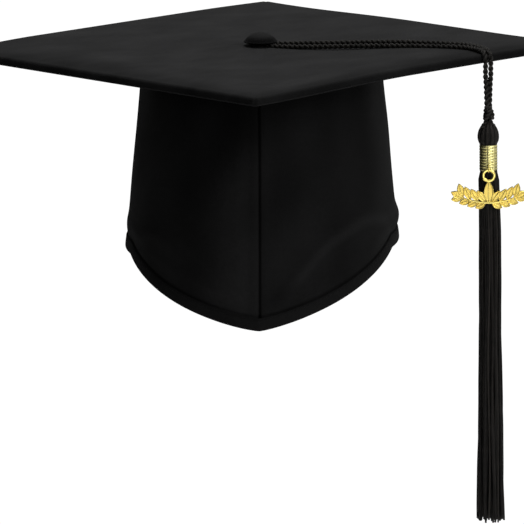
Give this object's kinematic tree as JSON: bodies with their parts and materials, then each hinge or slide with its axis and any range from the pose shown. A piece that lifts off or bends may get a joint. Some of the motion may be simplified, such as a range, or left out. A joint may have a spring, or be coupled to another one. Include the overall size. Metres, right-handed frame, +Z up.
{
  "type": "graduation cap",
  "caption": "Square cloth-covered board on a pointed skull crown, with a covered button, a looped cord and a hanging tassel with a gilt band and sprig charm.",
  "frame": {"origin": "Middle of the head opening, level with the crown's rim at the two sides of the head.", "axes": "+Z up, -Y the wearer's front (the pointed side of the crown), +X the wearer's left, where the tassel hangs; the board's diagonals lie along X and Y."},
  "size_m": [0.3388, 0.3388, 0.2683],
  "materials": {
    "cap_cloth": "matte black polyester gown cloth with a faint sheen",
    "lining": "plain black lining and stiffening cloth",
    "board": "grey chipboard, hidden",
    "tab": "blank white woven tab",
    "steel": "plain steel button hardware",
    "yarn": "black rayon yarn and twisted cord with a soft shine",
    "gilt": "bright gilt metal",
    "gilt_wrap": "bright gilt metallic wrapping"
  },
  "bodies": {
    "cap": {"board_core": "board", "board_top_cover": "cap_cloth", "board_bottom_cover": "cap_cloth", "crown_left_panel": "cap_cloth", "crown_right_panel": "cap_cloth", "crown_left_stiffening": "lining", "crown_right_stiffening": "lining", "front_seam_tape": "lining", "back_seam_tape": "lining", "crown_top_tape": "lining", "rim_binding": "cap_cloth", "elastic_casing": "cap_cloth", "elastic_band": "lining", "size_tab": "tab", "button_cover": "cap_cloth", "button_shell": "steel", "button_plate": "steel", "button_neck": "steel", "button_washer": "steel", "button_keeper": "steel"},
    "cord_run": {"cord_on_board": "yarn"},
    "cord_fall": {"cord_drop": "yarn"},
    "knot": {"tassel_knot": "yarn"},
    "tassel": {"neck_loop": "yarn", "tassel_head": "yarn", "neck_tie": "yarn", "gold_band": "gilt_wrap", "band_seam_thread": "gilt_wrap", "charm_eye": "gilt", "skirt_core": "yarn", "skirt_strands": "yarn"},
    "charm_drop": {"charm_ring": "gilt", "charm": "gilt"}
  },
  "joints": [
    {"name": "cord_turn", "type": "hinge", "parent": "cap", "child": "cord_run", "pos_m": [0, 0, 0.1104], "axis": [0, 0, 1], "continuous": true, "deforming": ["cord_on_board"]},
    {"name": "tassel_swing", "type": "hinge", "parent": "cord_run", "child": "cord_fall", "pos_m": [0.1258, -0.0485, 0.1035], "axis": [-0.7071, -0.7071, 0], "range_deg": [-12, 75], "deforming": ["cord_drop"]},
    {"name": "tassel_sway", "type": "hinge", "parent": "cord_fall", "child": "knot", "pos_m": [0.1258, -0.0485, 0.08], "axis": [0.7071, -0.7071, 0], "range_deg": [-45, 45]},
    {"name": "tassel_twist", "type": "hinge", "parent": "knot", "child": "tassel", "pos_m": [0.1258, -0.0485, 0.08], "axis": [0, 0, 1], "range_deg": [-180, 180]},
    {"name": "charm_flap", "type": "hinge", "parent": "tassel", "child": "charm_drop", "pos_m": [0.1258, -0.0559, 0.0486], "axis": [-1, 0, 0], "range_deg": [0, 100]}
  ]
}
